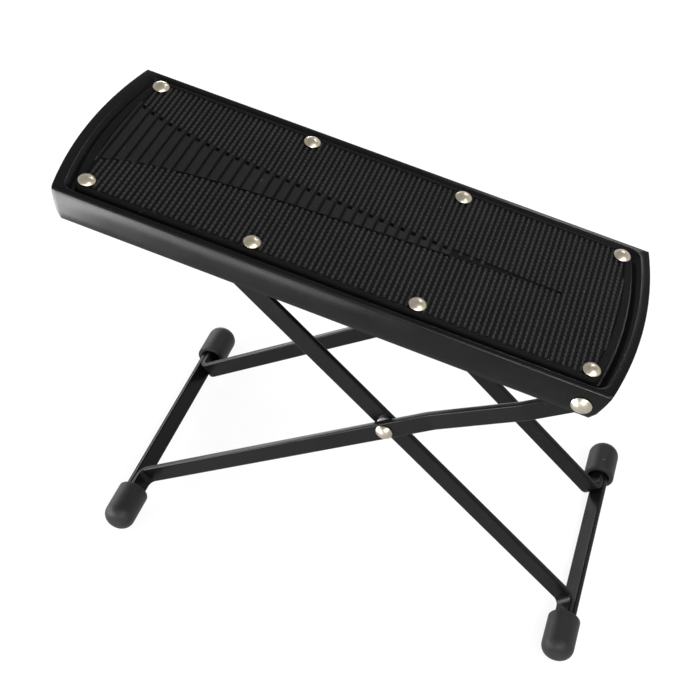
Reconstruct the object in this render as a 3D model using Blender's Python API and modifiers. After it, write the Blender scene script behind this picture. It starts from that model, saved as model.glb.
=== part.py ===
"""Folding guitar footrest: a pressed steel tread on two crossed frames of flat bar.

Frame A has its feet at the left and is hinged to the tread near its right end.
Frame B has its feet at the right, crosses frame A on two rivets, and carries a
rod that sits in a notch of the two racks under the tread. The tread's own axes
are X along it, Y across it and Z out of its top, from the middle of its rim.
"""

import math

import bmesh
import bpy
from mathutils import Vector

# Fits between pieces
fit_gap = 0.0003
shaft_clearance = 0.0002
cut_overrun = 0.0020
weld_distance = 0.00001

# Tread pressing
tread_length = 0.2550
tread_width = 0.1000
end_bow = 0.0060
sheet = 0.0012
flange_depth = 0.0155
flange_pull_in = 0.0012
bend_radius = 0.0022
side_rim = 0.0030
end_rim = 0.0060
recess_slope = 0.0020
recess_depth = 0.0028
recess_corner = 0.0060

# Rubber mat
mat_margin = 0.0010
mat_rise = 0.0006
mat_edge_round = 0.0004

# Tapering ladder of cross grooves moulded in the mat, and the longer grooves that leave it
ladder_start = 0.1189
ladder_tip = 0.0950
ladder_pitch = 0.0052
ladder_groove = 0.0012
ladder_depth = 0.0009
ladder_offset = 0.0005
ladder_taper_share = 0.0585
ladder_flare = 0.0108
ladder_flare_length = 0.0260
ladder_least = 0.0010
groove_border = 0.0030
bars_per_long_groove = 2

# Rivets that hold the mat and the racks
mat_rivet_end_inset = 0.0114
mat_rivet_inner_share = 0.1494
mat_rivet_side_inset = 0.0112
mat_rivet_radius = 0.00425
mat_rivet_rise = 0.0022
mat_rivet_shank = 0.0020
rivet_tail_radius = 0.0030
rivet_tail_rise = 0.0010

# Flat bar of the two frames
bar_width = 0.0096
bar_thickness = 0.0030
bar_edge_round = 0.0005
foot_bend_radius = 0.0030
joggle_step = 0.0053
joggle_start = 0.0260
joggle_length = 0.0500
joggle_bend_radius = 0.0400

# Frame geometry, measured from the rivets on which the frames cross
leg_angle = math.radians(36.05)
hinge_reach = 0.1036
foot_reach_a = 0.1616
foot_reach_b = 0.1424
latch_reach = 0.1220

# Hinge of the tread on frame A
hinge_inset = 0.0101
hinge_drop = 0.0099
hinge_rivet_radius = 0.0047
hinge_rivet_rise = 0.0026
hinge_rivet_shank = 0.0025

# Rivets on which the frames cross
pivot_rivet_radius = 0.00425
pivot_rivet_rise = 0.0024
pivot_rivet_shank = 0.0025
pivot_tail_radius = 0.0036
pivot_tail_rise = 0.0014
washer_radius = 0.0050
washer_thickness = 0.0012

# Rubber feet
foot_radius = 0.00825
foot_length = 0.0226
foot_end_wall = 0.0035
foot_end_round = 0.0060
foot_lip_round = 0.0007
foot_stand_off = 0.0102
bar_end_gap = 0.0010

# Latch rod and notched racks
rod_radius = 0.0030
rod_neck_radius = 0.0022
rod_head_radius = 0.0036
rod_head_length = 0.0010
latch_drop = 0.0120
rack_sheet = 0.0015
rack_clearance = 0.0012
rack_tab = 0.0042
rack_land = 0.0050
rack_web_inset = 0.0030
notch_pitch = 0.0140
notch_depth = 0.0014
notch_half_width = 0.0039
notch_play = 0.0004
notches_right = 1
notches_left = 2

# Facet counts
round_steps = 24
rivet_steps = 20
hole_steps = 16
end_arc_steps = 14
corner_steps = 4
bend_steps = 4
dome_steps = 4
notch_steps = 6


def clear_scene():
    for old in list(bpy.data.objects):
        bpy.data.objects.remove(old, do_unlink=True)


def new_collection(name):
    collection = bpy.data.collections.new(name)
    bpy.context.scene.collection.children.link(collection)
    return collection


def paint(name, color, roughness, metallic):
    """One Principled material; each object gets its own copy of it."""
    material = bpy.data.materials.new(name)
    material.use_nodes = True
    shader = material.node_tree.nodes["Principled BSDF"]
    shader.inputs["Base Color"].default_value = (*color, 1)
    shader.inputs["Roughness"].default_value = roughness
    shader.inputs["Metallic"].default_value = metallic
    return material


def black_paint(name):
    return paint(name, (0.012, 0.012, 0.013), 0.35, 0.0)


def nickel(name):
    return paint(name, (0.62, 0.57, 0.49), 0.28, 1.0)


def black_rubber(name):
    return paint(name, (0.022, 0.022, 0.023), 0.75, 0.0)


def add_empty(name, location, tilt=0.0, parent=None):
    """An axis or origin that pieces are placed from; tilt turns it about Y."""
    empty = bpy.data.objects.new(name, None)
    empty.location = location
    empty.rotation_euler = (0, tilt, 0)
    empty.parent = parent
    parts.objects.link(empty)
    return empty


def add_part(name, mesh, make_material, parent, location=(0, 0, 0), turn=(0, 0, 0)):
    part = bpy.data.objects.new(name, mesh)
    part.location = location
    part.rotation_euler = turn
    part.parent = parent
    parts.objects.link(part)
    part.data.materials.append(make_material(name + "_finish"))
    return part


def add_cutter(name, mesh, parent, location=(0, 0, 0), turn=(0, 0, 0)):
    cutter = bpy.data.objects.new(name, mesh)
    cutter.location = location
    cutter.rotation_euler = turn
    cutter.parent = parent
    cutter.hide_render = True
    cutter.display_type = "WIRE"
    cutters.objects.link(cutter)
    return cutter


def combine(part, cutter, operation="DIFFERENCE"):
    step = part.modifiers.new(cutter.name, "BOOLEAN")
    step.operation = operation
    step.solver = "EXACT"
    step.object = cutter


def smooth(mesh, angle=math.radians(35)):
    mesh.shade_smooth()
    mesh.set_sharp_from_angle(angle=angle)


def arc(centre, radius, start, end, steps):
    """Points of an arc in a plane, both ends included; angles in radians."""
    points = []
    for i in range(steps + 1):
        angle = start + (end - start) * i / steps
        points.append((centre[0] + radius * math.cos(angle), centre[1] + radius * math.sin(angle)))
    return points


def flat_mesh(name, outline, thickness, holes=()):
    """A flat outline in XY, less its holes, thickened evenly along Z, as a welded mesh."""
    curve = bpy.data.curves.new(name, "CURVE")
    curve.dimensions = "2D"
    curve.fill_mode = "BOTH"
    curve.extrude = thickness / 2
    for loop in (outline, *holes):
        spline = curve.splines.new("POLY")
        spline.points.add(len(loop) - 1)
        for point, (x, y) in zip(spline.points, loop):
            point.co = (x, y, 0, 1)
        spline.use_cyclic_u = True
    holder = bpy.data.objects.new(name, curve)
    bpy.context.scene.collection.objects.link(holder)
    bpy.context.view_layer.update()
    evaluated = holder.evaluated_get(bpy.context.evaluated_depsgraph_get())
    mesh = bpy.data.meshes.new_from_object(evaluated)
    bpy.data.objects.remove(holder, do_unlink=True)
    shape = bmesh.new()
    shape.from_mesh(mesh)
    bmesh.ops.remove_doubles(shape, verts=shape.verts, dist=weld_distance)
    if not holes:
        bmesh.ops.dissolve_limit(shape, angle_limit=math.radians(0.5), verts=shape.verts, edges=shape.edges)
    bmesh.ops.recalc_face_normals(shape, faces=shape.faces)
    shape.to_mesh(mesh)
    shape.free()
    mesh.name = name
    return mesh


def cylinder_mesh(name, radius, length, steps=None):
    """A cylinder along Z, centred on its origin."""
    shape = bmesh.new()
    bmesh.ops.create_cone(shape, cap_ends=True, segments=steps or round_steps,
                          radius1=radius, radius2=radius, depth=length)
    mesh = bpy.data.meshes.new(name)
    shape.to_mesh(mesh)
    shape.free()
    return mesh


def turned(name, profile, make_material, parent, location, turn, steps=None):
    """A profile of (radius, height) turned about Z, from its top to its bottom."""
    shape = bmesh.new()
    corners = [shape.verts.new((radius, 0, height)) for radius, height in profile]
    for first, second in zip(corners, corners[1:]):
        shape.edges.new((first, second))
    mesh = bpy.data.meshes.new(name)
    shape.to_mesh(mesh)
    shape.free()
    part = add_part(name, mesh, make_material, parent, location, turn)
    screw = part.modifiers.new("turn", "SCREW")
    screw.axis = "Z"
    screw.steps = screw.render_steps = steps or round_steps
    screw.use_merge_vertices = True
    screw.merge_threshold = weld_distance
    screw.use_smooth_shade = True
    return part


def side_name(side):
    return "front" if side < 0 else "back"


def facing(side):
    """Turn that points a turned piece's top out of the front or back side."""
    return (math.radians(-90) * side, 0, 0)


def dome(radius, rise, base):
    """Profile of a low dome from its crown to its rim, standing on base."""
    sphere = (radius * radius + rise * rise) / (2 * rise)
    half_angle = math.asin(min(1, radius / sphere))
    points = []
    for i in range(dome_steps + 1):
        angle = half_angle * i / dome_steps
        points.append((sphere * math.sin(angle), base + rise - sphere * (1 - math.cos(angle))))
    points[0] = (0, points[0][1])
    return points


def rivet_profile(head_radius, head_rise, shank_radius, grip, tail_radius, tail_rise):
    """A domed rivet whose head seats on zero and whose tail closes below the grip."""
    tail = dome(tail_radius, tail_rise, 0)
    low = [(radius, -grip - height) for radius, height in reversed(tail)]
    return dome(head_radius, head_rise, 0) + [(shank_radius, 0), (shank_radius, -grip)] + low


def rounded_path(points, radii):
    """A path with its inner corners replaced by arcs of the given radii."""
    path = [Vector(points[0])]
    for before, corner, after, radius in zip(points, points[1:], points[2:], radii):
        corner = Vector(corner)
        back = (Vector(before) - corner).normalized()
        ahead = (Vector(after) - corner).normalized()
        half = math.acos(max(-1, min(1, back.dot(ahead)))) / 2
        centre = corner + (back + ahead).normalized() * radius / math.sin(half)
        first = corner + back * radius / math.tan(half) - centre
        last = corner + ahead * radius / math.tan(half) - centre
        sweep = first.angle_signed(last)
        for i in range(bend_steps + 1):
            angle = math.atan2(first.y, first.x) - sweep * i / bend_steps
            path.append(centre + Vector((math.cos(angle), math.sin(angle))) * radius)
    path.append(Vector(points[-1]))
    return path


def strip_outline(path, thickness):
    """The two edges of a strip of even thickness along a path."""
    left = []
    right = []
    for i, point in enumerate(path):
        before = path[max(i - 1, 0)]
        after = path[min(i + 1, len(path) - 1)]
        along_in = (point - before).normalized() if i > 0 else (after - point).normalized()
        along_out = (after - point).normalized() if i < len(path) - 1 else along_in
        mean = (along_in + along_out).normalized()
        normal = Vector((-mean.y, mean.x))
        reach = thickness / 2 / mean.dot(along_in)
        left.append(tuple(point + normal * reach))
        right.append(tuple(point - normal * reach))
    return left + right[::-1]


# Places worked out from the driving dimensions
tread_inner_face = tread_width / 2 - sheet
leg_a_top_face = tread_inner_face - fit_gap
leg_a_face = leg_a_top_face - joggle_step
leg_b_face = leg_a_face - bar_thickness - washer_thickness - 2 * fit_gap
foot_stack = bar_thickness + fit_gap / 2
foot_bore = math.hypot(foot_stack, bar_width / 2) + fit_gap

pivot_height = foot_radius + foot_reach_a * math.sin(leg_angle)
leg_angle_b = math.asin((pivot_height - foot_radius) / foot_reach_b)
pivot_place = Vector((0, 0, pivot_height))
hinge_place = pivot_place + hinge_reach * Vector((math.cos(leg_angle), 0, math.sin(leg_angle)))
latch_place = pivot_place + latch_reach * Vector((-math.cos(leg_angle_b), 0, math.sin(leg_angle_b)))

latch_span = hinge_place - latch_place
latch_below_hinge = latch_drop - hinge_drop
tread_slope = math.atan2(latch_span.z, latch_span.x) - math.asin(latch_below_hinge / latch_span.length)
hinge_along = tread_length / 2 - hinge_inset
latch_along = hinge_along - math.sqrt(latch_span.length ** 2 - latch_below_hinge ** 2)

recess_floor = -recess_depth
mat_top = mat_rise
mat_bottom = recess_floor + fit_gap
sheet_bottom = recess_floor - sheet
rack_top = sheet_bottom - fit_gap
end_radius = ((tread_width / 2) ** 2 + end_bow ** 2) / (2 * end_bow)


def end_reach(across, inset=0):
    """Distance from the tread's middle to its bowed end, at a place across it."""
    radius = end_radius - inset
    return tread_length / 2 + end_bow - end_radius + math.sqrt(radius ** 2 - across ** 2)


def tread_outline(side_inset, end_inset, corner):
    """Bowed-end outline of the tread, inset, with rounded corners, from the front right corner."""
    half_width = tread_width / 2 - side_inset
    bow = end_radius - end_inset
    bow_centre = tread_length / 2 + end_bow - end_radius
    # The corner's circle touches the long side from within and the end's arc from within.
    corner_across = half_width - corner
    corner_along = bow_centre + math.sqrt((bow - corner) ** 2 - corner_across ** 2)
    touch = math.asin(corner_across / (bow - corner))
    quarter = arc((corner_along, -corner_across), corner, -math.pi / 2, -touch, corner_steps)
    end = arc((bow_centre, 0), bow, -touch, touch, end_arc_steps)[1:-1]
    right = quarter + end + [(x, -y) for x, y in reversed(quarter)]
    return right + [(-x, -y) for x, y in right]


def rim_outline():
    """Outer edge of the tread's top, one point for each point of the recess outline."""
    half_width = tread_width / 2
    corner_along = end_reach(half_width)
    inner = tread_outline(side_rim, end_rim, recess_corner)
    quarter_count = corner_steps + 1
    side_along = inner[0][0]
    right = []
    for i in range(quarter_count):
        share = i / (corner_steps / 2)
        if share <= 1:
            right.append((side_along + (corner_along - side_along) * share, -half_width))
        else:
            across = -half_width + (inner[quarter_count - 1][1] + half_width) * (share - 1)
            right.append((end_reach(across), across))
    for i in range(quarter_count, quarter_count + end_arc_steps - 1):
        right.append((end_reach(inner[i][1]), inner[i][1]))
    right += [(x, -y) for x, y in reversed(right[:quarter_count])]
    return right + [(-x, -y) for x, y in right]


def make_tread_plate(parent):
    """Open shell of the pressing, thickened inwards, with its rivet holes."""
    shape = bmesh.new()
    loops = []
    for outline, height in ((rim_outline(), 0),
                            (tread_outline(side_rim, end_rim, recess_corner), 0),
                            (tread_outline(side_rim + recess_slope, end_rim + recess_slope,
                                           recess_corner - recess_slope), recess_floor)):
        loops.append([shape.verts.new((x, y, height)) for x, y in outline])
    # The bend eats into the rim, so the outermost loop starts where the bend does.
    for vert in loops[0]:
        if abs(vert.co.y) > tread_width / 2 - bend_radius:
            vert.co.y = math.copysign(tread_width / 2 - bend_radius, vert.co.y)
    count = len(loops[0])
    for outer, inner in zip(loops, loops[1:]):
        for i in range(count):
            j = (i + 1) % count
            shape.faces.new((outer[i], outer[j], inner[j], inner[i]))
    shape.faces.new(loops[-1])
    add_flanges(shape, loops[0])
    bmesh.ops.recalc_face_normals(shape, faces=shape.faces)
    mesh = bpy.data.meshes.new("tread_plate")
    shape.to_mesh(mesh)
    shape.free()
    smooth(mesh)
    plate = add_part("tread_plate", mesh, black_paint, parent)
    shell = plate.modifiers.new("sheet", "SOLIDIFY")
    shell.thickness = sheet
    shell.offset = -1
    shell.use_even_offset = True
    return plate


def add_flanges(shape, rim):
    """Bend each long edge of the rim over and run it down to the flange's lower edge."""
    half_width = tread_width / 2
    top_of_bend = half_width - bend_radius
    for side in (-1, 1):
        row = [vert for vert in rim if abs(vert.co.y - side * top_of_bend) < fit_gap / 10]
        row.sort(key=lambda vert: vert.co.x)
        first_length = max(vert.co.x for vert in row)
        sections = []
        for i in range(1, bend_steps + 1):
            angle = math.pi / 2 * i / bend_steps
            sections.append((top_of_bend + bend_radius * math.sin(angle),
                             bend_radius * (math.cos(angle) - 1),
                             half_width - bend_radius + bend_radius * angle))
        unfolded = sections[-1][2] + flange_depth - bend_radius
        middle = (unfolded + sections[-1][2]) / 2
        sections.append((half_width, -(flange_depth + bend_radius) / 2, middle))
        sections.append((half_width, -flange_depth, unfolded))
        for across, height, unrolled in sections:
            reach = end_reach(unrolled)
            if height == -flange_depth:
                reach -= flange_pull_in
            stretch = reach / first_length
            lower = [shape.verts.new((vert.co.x * stretch_of(vert, row, stretch), side * across, height))
                     for vert in row]
            for i in range(len(row) - 1):
                shape.faces.new((row[i], row[i + 1], lower[i + 1], lower[i]))
            first_length = reach
            row = lower


def stretch_of(vert, row, stretch):
    """Only the flange's end points follow the bowed end; the others stay in line."""
    reach = max(abs(other.co.x) for other in row)
    return stretch if abs(vert.co.x) > reach * stretch else 1


def make_mat(parent):
    inset = side_rim + recess_slope + mat_margin
    end_inset = end_rim + recess_slope + mat_margin
    outline = tread_outline(inset, end_inset, recess_corner - recess_slope - mat_margin)
    mesh = flat_mesh("rubber_mat", outline, mat_top - mat_bottom)
    smooth(mesh)
    mat = add_part("rubber_mat", mesh, black_rubber, parent, (0, 0, (mat_top + mat_bottom) / 2))
    edge = mat.modifiers.new("edge", "BEVEL")
    edge.width = mat_edge_round
    edge.segments = 1
    edge.limit_method = "ANGLE"
    edge.angle_limit = math.radians(60)
    combine(mat, make_ladder_cutter(parent))
    return mat


def ladder_half_width(along):
    """Half the ladder's width, flared at its wide end and running to a point at its tip."""
    flare = ladder_flare * math.exp(-(along + ladder_start) / ladder_flare_length)
    return ladder_taper_share * (ladder_tip - along) + flare


def groove_reach(along, side):
    """How far a long groove runs towards one side, short of the border and of any rivet head."""
    reach = tread_width / 2 - side_rim - recess_slope - mat_margin - groove_border
    clear = mat_rivet_radius + ladder_groove
    for rivet_side, number, rivet_along, rivet_across in mat_rivet_places():
        if rivet_side == side and abs(along + ladder_groove / 2 - rivet_along) < clear:
            reach = min(reach, abs(rivet_across) - clear)
    return side * reach - ladder_offset


def ladder_side(count, side):
    """One edge of the ladder, with a long groove leaving it at every few bars."""
    points = []
    for i in range(count + 1):
        near = -ladder_start + i * ladder_pitch
        points.append((near, side * ladder_half_width(near)))
        if i % bars_per_long_groove == 0 and 0 < i < count:
            far = near + ladder_groove
            points += [(near, groove_reach(near, side)), (far, groove_reach(near, side)),
                       (far, side * ladder_half_width(far))]
    points.append((near + ladder_groove, side * ladder_half_width(near)))
    return points


def make_ladder_cutter(parent):
    """The mat's grooves in one piece: the ladder's outline less its bars, and the grooves past its tip."""
    loops = []
    along = -ladder_start
    while ladder_half_width(along + ladder_pitch) - ladder_groove > ladder_least:
        near = along + ladder_groove
        far = along + ladder_pitch
        wide = ladder_half_width(near) - ladder_groove
        narrow = ladder_half_width(far) - ladder_groove
        loops.append([(near, -wide), (far, -narrow), (far, narrow), (near, wide)])
        along = far
    count = len(loops)
    outline = ladder_side(count, -1) + ladder_side(count, 1)[::-1]
    step = bars_per_long_groove * ladder_pitch
    near = -ladder_start + (count // bars_per_long_groove + 1) * step
    while near < ladder_start - step / 2:
        far = near + ladder_groove
        low, high = groove_reach(near, -1), groove_reach(near, 1)
        loops.append([(near, low), (far, low), (far, high), (near, high)])
        near += step
    mesh = flat_mesh("ladder", outline, 2 * ladder_depth, loops)
    return add_cutter("ladder", mesh, parent, (0, ladder_offset, mat_top))


def mat_rivet_places():
    """Side, number, and along and across places of the rivets, front row then back row."""
    outer = tread_length / 2 - mat_rivet_end_inset
    inner = mat_rivet_inner_share * tread_length
    columns = (-outer, -inner, inner, outer)
    for side in (-1, 1):
        for number, along in enumerate(columns, 1):
            yield side, number, along, side * (tread_width / 2 - mat_rivet_side_inset)


def make_mat_rivets(parent, mat, plate, racks):
    for side, number, along, across in mat_rivet_places():
        name = f"mat_rivet_{side_name(side)}_{number}"
        holds_rack = along < 0
        bottom = (rack_top - rack_sheet) if holds_rack else sheet_bottom
        grip = mat_top - bottom + 2 * fit_gap
        profile = rivet_profile(mat_rivet_radius, mat_rivet_rise, mat_rivet_shank, grip,
                                rivet_tail_radius, rivet_tail_rise)
        turned(name, profile, nickel, parent, (along, across, mat_top + fit_gap), (0, 0, 0), rivet_steps)
        length = grip + 2 * cut_overrun
        mesh = cylinder_mesh(name + "_hole", mat_rivet_shank + shaft_clearance, length, hole_steps)
        hole = add_cutter(name + "_hole", mesh, parent, (along, across, (mat_top + bottom) / 2))
        combine(mat, hole)
        combine(plate, hole)
        if holds_rack:
            combine(racks[side], hole)


def make_rack(parent, side):
    """Strip with a riveted tab and a web whose lower edge is notched for the latch rod."""
    land = notch_half_width + rack_land
    outer_rivet = tread_length / 2 - mat_rivet_end_inset
    inner_rivet = mat_rivet_inner_share * tread_length
    left = min(-outer_rivet - rack_tab, latch_along - notches_left * notch_pitch - land)
    right = max(rack_tab - inner_rivet, latch_along + notches_right * notch_pitch + land)
    notch_radius = (notch_half_width ** 2 + notch_depth ** 2) / (2 * notch_depth)
    half_angle = math.asin(notch_half_width / notch_radius)
    notch_top = -latch_drop + rod_radius + notch_play
    web_bottom = notch_top - notch_depth
    web = [(left, rack_top), (left, rack_top - rack_sheet), (left + rack_web_inset, web_bottom)]
    for i in range(-notches_left, notches_right + 1):
        centre = (latch_along + i * notch_pitch, notch_top - notch_radius)
        web += arc(centre, notch_radius, math.pi / 2 + half_angle, math.pi / 2 - half_angle, notch_steps)
    web += [(right - rack_web_inset, web_bottom), (right, rack_top - rack_sheet), (right, rack_top)]
    web_outer = leg_b_face - bar_thickness - rack_clearance
    mesh = flat_mesh(f"rack_{side_name(side)}", web, rack_sheet)
    rack = add_part(f"rack_{side_name(side)}", mesh, black_paint, parent,
                    (0, side * (web_outer - rack_sheet / 2), 0), (math.radians(90), 0, 0))
    tab_inner = web_outer - rack_sheet
    tab_outer = tread_width / 2 - mat_rivet_side_inset + rack_tab
    tab = [(left, tab_inner), (right, tab_inner), (right, tab_outer), (left, tab_outer)]
    mesh = flat_mesh(f"rack_tab_{side_name(side)}", [(x, side * y) for x, y in tab], rack_sheet)
    tab = add_cutter(f"rack_tab_{side_name(side)}", mesh, parent, (0, 0, rack_top - rack_sheet / 2))
    combine(rack, tab, "UNION")
    return rack


def make_leg(name, parent, side, path, radii, eye_end):
    """A flat bar bent along a path in XY, with its upper end rounded about eye_end."""
    mesh = flat_mesh(name, strip_outline(rounded_path(path, radii), bar_thickness), bar_width)
    smooth(mesh, math.radians(50))
    leg = add_part(name, mesh, black_paint, parent)
    edge = leg.modifiers.new("edge", "BEVEL")
    edge.width = bar_edge_round
    edge.segments = 1
    edge.limit_method = "ANGLE"
    edge.angle_limit = math.radians(60)
    far = -2 * (foot_reach_a + foot_reach_b)
    side_reach = bar_width / 2 + cut_overrun
    face = [(far, -side_reach), (far, side_reach), (eye_end, side_reach)]
    face += arc((eye_end, 0), bar_width / 2, math.pi / 2, -math.pi / 2, round_steps // 2)
    face.append((eye_end, -side_reach))
    mesh = flat_mesh(name + "_eye", face, tread_width)
    eye = add_cutter(name + "_eye", mesh, parent, (0, side * tread_width / 2, 0), (math.radians(90), 0, 0))
    combine(leg, eye, "INTERSECT")
    return leg


def drill(leg, parent, name, along, radius):
    mesh = cylinder_mesh(name, radius, 2 * tread_width)
    combine(leg, add_cutter(name, mesh, parent, (along, 0, 0), (math.radians(90), 0, 0)))


def make_frame_legs(frame, parent, face, foot_reach, foot_mouth):
    """Two side bars of one frame: upper end, straight run, and foot end bent outwards."""
    tab_end = foot_mouth + foot_length - foot_end_wall - bar_end_gap
    lower = face - bar_thickness / 2
    foot_along = -foot_reach + bar_thickness / 2 + fit_gap / 2
    for side in (-1, 1):
        name = f"leg_{frame}_{side_name(side)}"
        if frame == "a":
            top = leg_a_top_face - bar_thickness / 2
            path = [(hinge_reach + bar_width, top), (joggle_start + joggle_length, top),
                    (joggle_start, lower), (foot_along, lower), (foot_along, tab_end)]
            radii = [joggle_bend_radius, joggle_bend_radius, foot_bend_radius + bar_thickness / 2]
            leg = make_leg(name, parent, side, [(x, side * y) for x, y in path], radii, hinge_reach)
            drill(leg, parent, name + "_hinge_hole", hinge_reach, hinge_rivet_shank + shaft_clearance)
        else:
            path = [(latch_reach + bar_width, lower), (foot_along, lower), (foot_along, tab_end)]
            radii = [foot_bend_radius + bar_thickness / 2]
            leg = make_leg(name, parent, side, [(x, side * y) for x, y in path], radii, latch_reach)
            drill(leg, parent, name + "_rod_hole", latch_reach, rod_neck_radius + shaft_clearance)
        drill(leg, parent, name + "_pivot_hole", 0, pivot_rivet_shank + shaft_clearance)
    make_crossbar(frame, parent, -foot_reach, tab_end)
    make_feet(frame, parent, -foot_reach, foot_mouth)


def make_crossbar(frame, parent, foot_along, half_length):
    """Straight flat bar that lies on the outer side of the two bent leg ends."""
    width = bar_thickness
    outline = [(-width / 2, -half_length), (width / 2, -half_length),
               (width / 2, half_length), (-width / 2, half_length)]
    mesh = flat_mesh(f"crossbar_{frame}", outline, bar_width)
    smooth(mesh)
    along = foot_along - bar_thickness / 2 - fit_gap / 2
    bar = add_part(f"crossbar_{frame}", mesh, black_paint, parent, (along, 0, 0))
    edge = bar.modifiers.new("edge", "BEVEL")
    edge.width = bar_edge_round
    edge.segments = 1
    edge.limit_method = "ANGLE"
    edge.angle_limit = math.radians(60)


def foot_profile():
    """Closed domed end at the top, open mouth at zero, with the bore inside."""
    top = foot_length
    shoulder = foot_radius - foot_end_round
    points = [(0, top)] + [(shoulder + x, top - foot_end_round + y)
                           for x, y in arc((0, 0), foot_end_round, math.pi / 2, 0, dome_steps + 1)]
    lip = arc((foot_radius - foot_lip_round, foot_lip_round), foot_lip_round, 0, -math.pi / 2, 2)
    bore = [(foot_bore, 0), (foot_bore, top - foot_end_wall), (0, top - foot_end_wall)]
    return points + lip + bore


def make_feet(frame, parent, foot_along, foot_mouth):
    for side in (-1, 1):
        turned(f"foot_{frame}_{side_name(side)}", foot_profile(), black_rubber, parent,
               (foot_along, side * foot_mouth, 0), facing(side))


def make_pivots(parent):
    """Rivets and spacing washers on which the two frames cross."""
    for side in (-1, 1):
        grip = leg_a_face - leg_b_face + bar_thickness + 2 * fit_gap
        profile = rivet_profile(pivot_rivet_radius, pivot_rivet_rise, pivot_rivet_shank, grip,
                                pivot_tail_radius, pivot_tail_rise)
        turned(f"pivot_rivet_{side_name(side)}", profile, nickel, parent,
               (0, side * (leg_a_face + fit_gap), 0), facing(side))
        inner = pivot_rivet_shank + shaft_clearance
        half = washer_thickness / 2
        ring = [(inner, half), (washer_radius, half), (washer_radius, -half), (inner, -half), (inner, half)]
        turned(f"pivot_washer_{side_name(side)}", ring, nickel, parent,
               (0, side * (leg_b_face + fit_gap + half), 0), facing(side))


def make_latch_rod(parent):
    """Rod between the upper ends of frame B, with necks through the bars and closed heads."""
    body = leg_b_face - bar_thickness - fit_gap
    neck = leg_b_face + fit_gap
    tip = neck + rod_head_length
    half = [(0, tip), (rod_head_radius, tip), (rod_head_radius, neck), (rod_neck_radius, neck),
            (rod_neck_radius, body), (rod_radius, body)]
    profile = half + [(radius, -height) for radius, height in reversed(half)]
    turned("latch_rod", profile, nickel, parent, (latch_reach, 0, 0), (math.radians(90), 0, 0))


def make_hinge_rivets(parent, plate):
    for side in (-1, 1):
        name = f"hinge_rivet_{side_name(side)}"
        grip = sheet + bar_thickness + 3 * fit_gap
        profile = rivet_profile(hinge_rivet_radius, hinge_rivet_rise, hinge_rivet_shank, grip,
                                pivot_tail_radius, pivot_tail_rise)
        turned(name, profile, nickel, parent, (0, side * (tread_width / 2 + fit_gap), 0), facing(side))
    mesh = cylinder_mesh("hinge_bore", hinge_rivet_shank + shaft_clearance, 2 * tread_width)
    combine(plate, add_cutter("hinge_bore", mesh, parent, (0, 0, 0), (math.radians(90), 0, 0)))


def stand_over_origin(root):
    """Move the whole part so that its box is centred over the origin, feet on zero."""
    bpy.context.view_layer.update()
    shapes = bpy.context.evaluated_depsgraph_get()
    corners = []
    for part in parts.objects:
        if part.type == "MESH":
            mesh = part.evaluated_get(shapes).to_mesh()
            corners += [part.matrix_world @ vert.co for vert in mesh.vertices]
    middle_x = (min(c.x for c in corners) + max(c.x for c in corners)) / 2
    root.location.x -= middle_x
    bpy.context.view_layer.update()


clear_scene()
parts = new_collection("guitar_footrest")
cutters = new_collection("cutters")

stand = add_empty("stand", (0, 0, 0))
frame_a_axis = add_empty("frame_a_axis", pivot_place, -leg_angle, stand)
frame_b_axis = add_empty("frame_b_axis", pivot_place, math.pi + leg_angle_b, stand)
tread_axis = add_empty("tread_axis", hinge_place, -tread_slope, stand)
tread_middle = add_empty("tread_middle", (-hinge_along, 0, hinge_drop), 0, tread_axis)

tread_plate = make_tread_plate(tread_middle)
rubber_mat = make_mat(tread_middle)
rack_pair = {side: make_rack(tread_middle, side) for side in (-1, 1)}
make_mat_rivets(tread_middle, rubber_mat, tread_plate, rack_pair)
make_hinge_rivets(tread_axis, tread_plate)
make_frame_legs("a", frame_a_axis, leg_a_face, foot_reach_a, leg_a_face + foot_stand_off)
make_frame_legs("b", frame_b_axis, leg_b_face, foot_reach_b, leg_b_face + foot_stand_off)
make_pivots(frame_a_axis)
make_latch_rod(frame_b_axis)
stand_over_origin(stand)
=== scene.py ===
"""Look scene of the folding guitar footrest.

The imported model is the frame. Here its visible pieces get their finer shapes
(ribbed mat, pressed plate, bent bars, rivets and feet) and their materials,
and the floor, light and camera are set up. Lengths are in metres.
"""

import math

import bmesh
import bpy
from mathutils import Matrix, Vector


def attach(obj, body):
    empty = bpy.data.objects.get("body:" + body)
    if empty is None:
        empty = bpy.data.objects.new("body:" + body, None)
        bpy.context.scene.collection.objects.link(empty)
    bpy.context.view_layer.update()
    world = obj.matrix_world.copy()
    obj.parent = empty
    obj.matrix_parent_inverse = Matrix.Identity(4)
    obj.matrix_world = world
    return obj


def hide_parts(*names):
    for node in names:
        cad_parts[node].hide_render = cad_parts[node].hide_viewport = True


# Camera, fitted to the photograph
camera_azimuth = math.radians(15.16)
camera_elevation = math.radians(45.53)
camera_roll = math.radians(4.80)
camera_distance = 0.6111
camera_target = Vector((-0.01077, 0.00115, 0.10745))
camera_lens = 64.32
camera_sensor = 36.0

# Places of the model's own frames
tread_slope = math.radians(7.38513)
tread_origin = Vector((-0.00653, 0.0, 0.189226))
pivot_place = Vector((0.02486, 0.0, 0.10335))
leg_angle_a = math.radians(36.05)
leg_angle_b = math.radians(41.90042)

# Fits, and how near two values count as the same
fit_gap = 0.0003
same_line = fit_gap / 10
same_point = fit_gap / 100

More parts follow.
